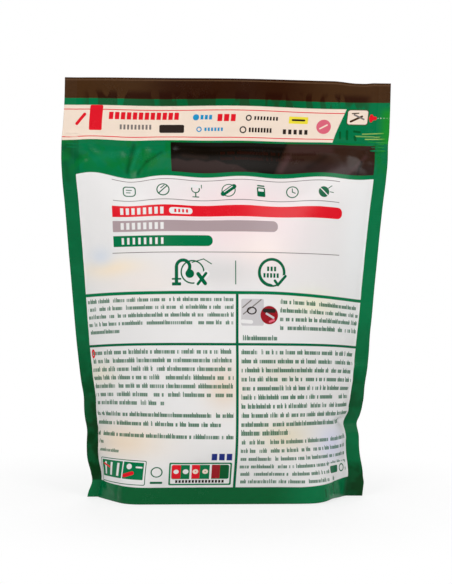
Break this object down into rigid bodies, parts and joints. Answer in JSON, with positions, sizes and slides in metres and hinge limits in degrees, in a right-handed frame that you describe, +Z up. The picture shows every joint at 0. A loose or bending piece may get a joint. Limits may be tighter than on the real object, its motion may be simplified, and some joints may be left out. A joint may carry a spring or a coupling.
{
  "type": "dishwasher tablet pouch",
  "caption": "Sealed stand-up film pouch of dishwasher tablets, full, standing on its base, with side seals, a flat header and a press-to-close strip.",
  "frame": {"origin": "on the floor, under the middle of the pouch's bounding box", "axes": "+Z up along the pouch's height, +X along its width to the right as the pale printed face is seen, -Y out of that face"},
  "size_m": [0.23, 0.0978, 0.2959],
  "materials": {
    "printed_film": "satin-gloss printed laminate film in deep green, with a pale information panel, a dark brown header band and a cream band"
  },
  "bodies": {
    "root": {"tablet_pouch": "printed_film"}
  },
  "joints": []
}
